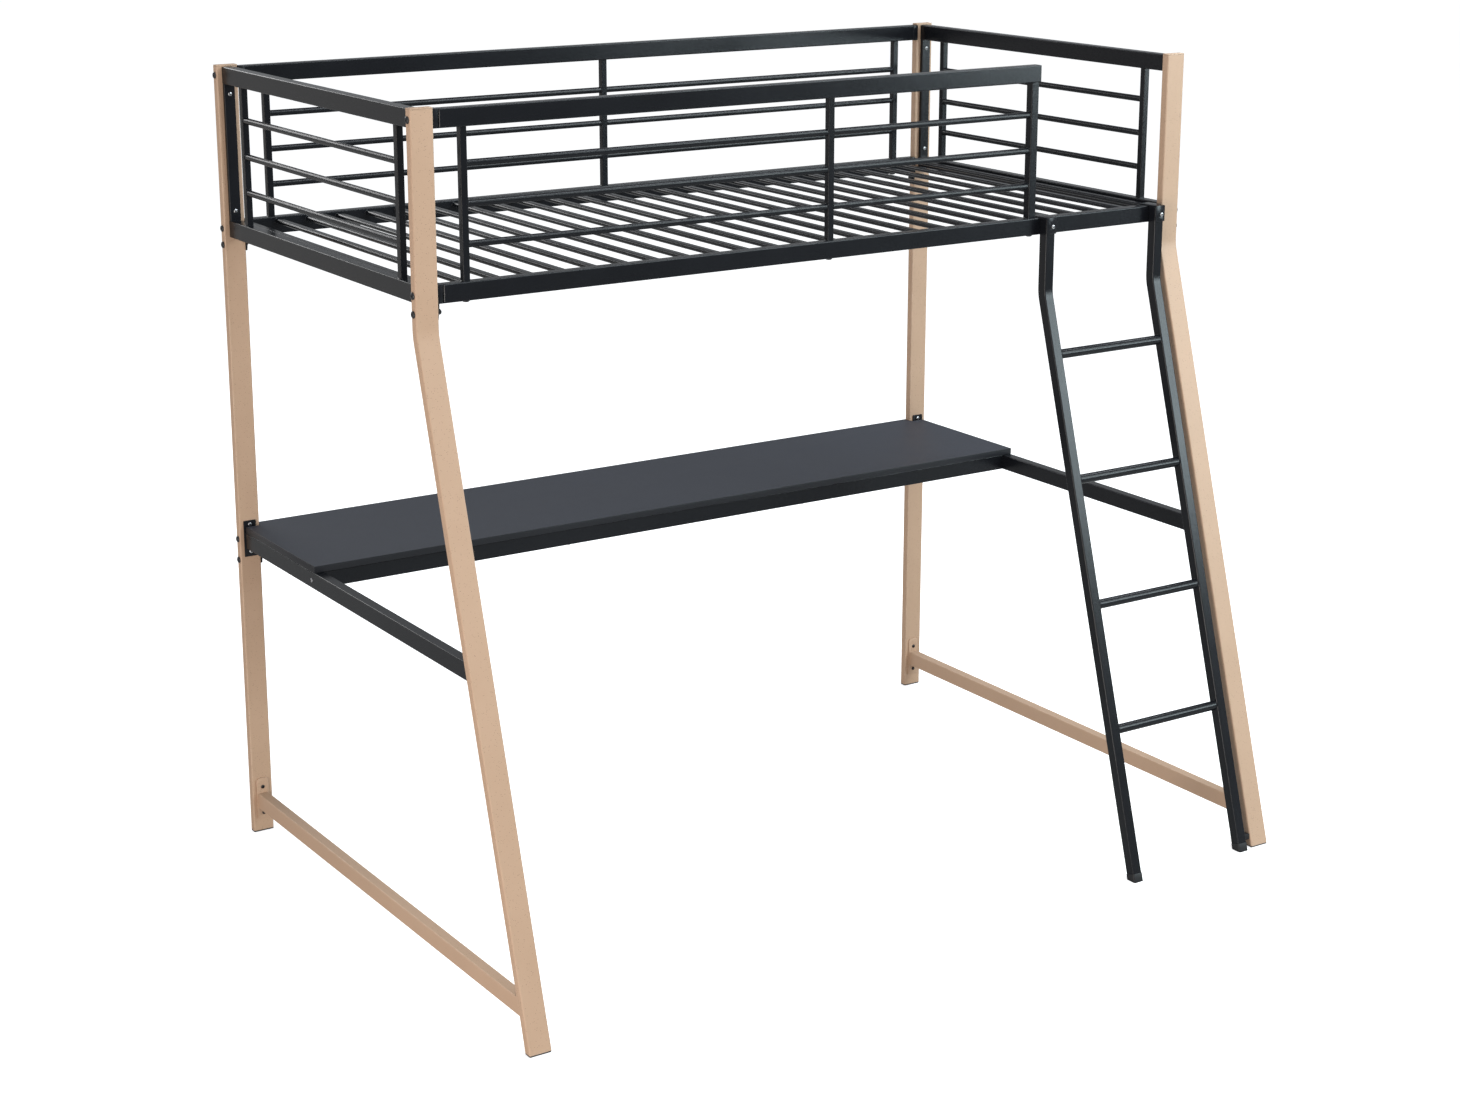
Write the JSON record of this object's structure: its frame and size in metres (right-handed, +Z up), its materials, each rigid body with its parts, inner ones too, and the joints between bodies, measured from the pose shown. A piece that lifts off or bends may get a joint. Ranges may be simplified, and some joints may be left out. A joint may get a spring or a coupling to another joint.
{
  "type": "loft bed with desk",
  "caption": "tubular steel loft bed with a slatted deck, rod guard rails, splayed front legs, a hooked-on leaning ladder and a full-width desk board below",
  "frame": {"origin": "centre of the bounding box on the floor", "axes": "+X along the bed's length toward the ladder end, +Y toward the wall side, +Z up; the ladder and splayed legs lean toward -Y"},
  "size_m": [1.988, 1.3885, 1.818],
  "materials": {
    "tan_paint": "satin powder coat, warm sand",
    "black_paint": "satin powder coat, black",
    "board": "matt dark grey laminate on particle board",
    "black_plastic": "moulded black plastic",
    "black_screw": "black coated fastener",
    "bright_screw": "bright zinc plated fastener"
  },
  "bodies": {
    "root": {"post_rear_left": "tan_paint", "post_rear_right": "tan_paint", "leg_front_left": "tan_paint", "leg_front_right": "tan_paint", "post_caps": "tan_paint", "foot_glides": "black_plastic", "end_top_rail_left": "black_paint", "end_top_rail_right": "black_paint", "end_bottom_rail_left": "black_paint", "end_bottom_rail_right": "black_paint", "end_stiles": "black_paint", "end_uprights": "black_paint", "end_rods_left": "black_paint", "end_rods_right": "black_paint", "side_rail_front": "black_paint", "side_rail_rear": "black_paint", "side_rail_brackets": "black_paint", "slats": "black_paint", "guard_rail_front": "black_paint", "guard_rail_rear": "black_paint", "guard_rail_brackets": "black_paint", "guard_uprights_front": "black_paint", "guard_end_post": "black_paint", "guard_uprights_rear": "black_paint", "guard_rods_front": "black_paint", "guard_rods_rear": "black_paint", "guard_end_cap": "black_plastic", "desk_board": "board", "desk_beam_front": "black_paint", "desk_beam_rear": "black_paint", "desk_beam_brackets": "black_paint", "desk_rail_left": "black_paint", "desk_rail_right": "black_paint", "desk_post_plates": "black_paint", "desk_leg_plates": "black_paint", "stretcher_left": "tan_paint", "stretcher_right": "tan_paint", "stretcher_post_plates": "tan_paint", "stretcher_leg_plates": "tan_paint", "ladder_stile_left": "black_paint", "ladder_stile_right": "black_paint", "ladder_rungs": "black_paint", "ladder_hooks": "black_paint", "ladder_feet": "black_plastic", "ladder_spacer": "black_plastic", "frame_bolts": "black_screw", "frame_nuts": "black_screw", "panel_screws": "bright_screw", "guard_bolts": "black_screw", "desk_plate_screws": "bright_screw", "desk_side_screws": "bright_screw", "board_screws": "black_screw", "stretcher_screws": "black_screw", "hook_screws": "bright_screw"}
  },
  "joints": []
}
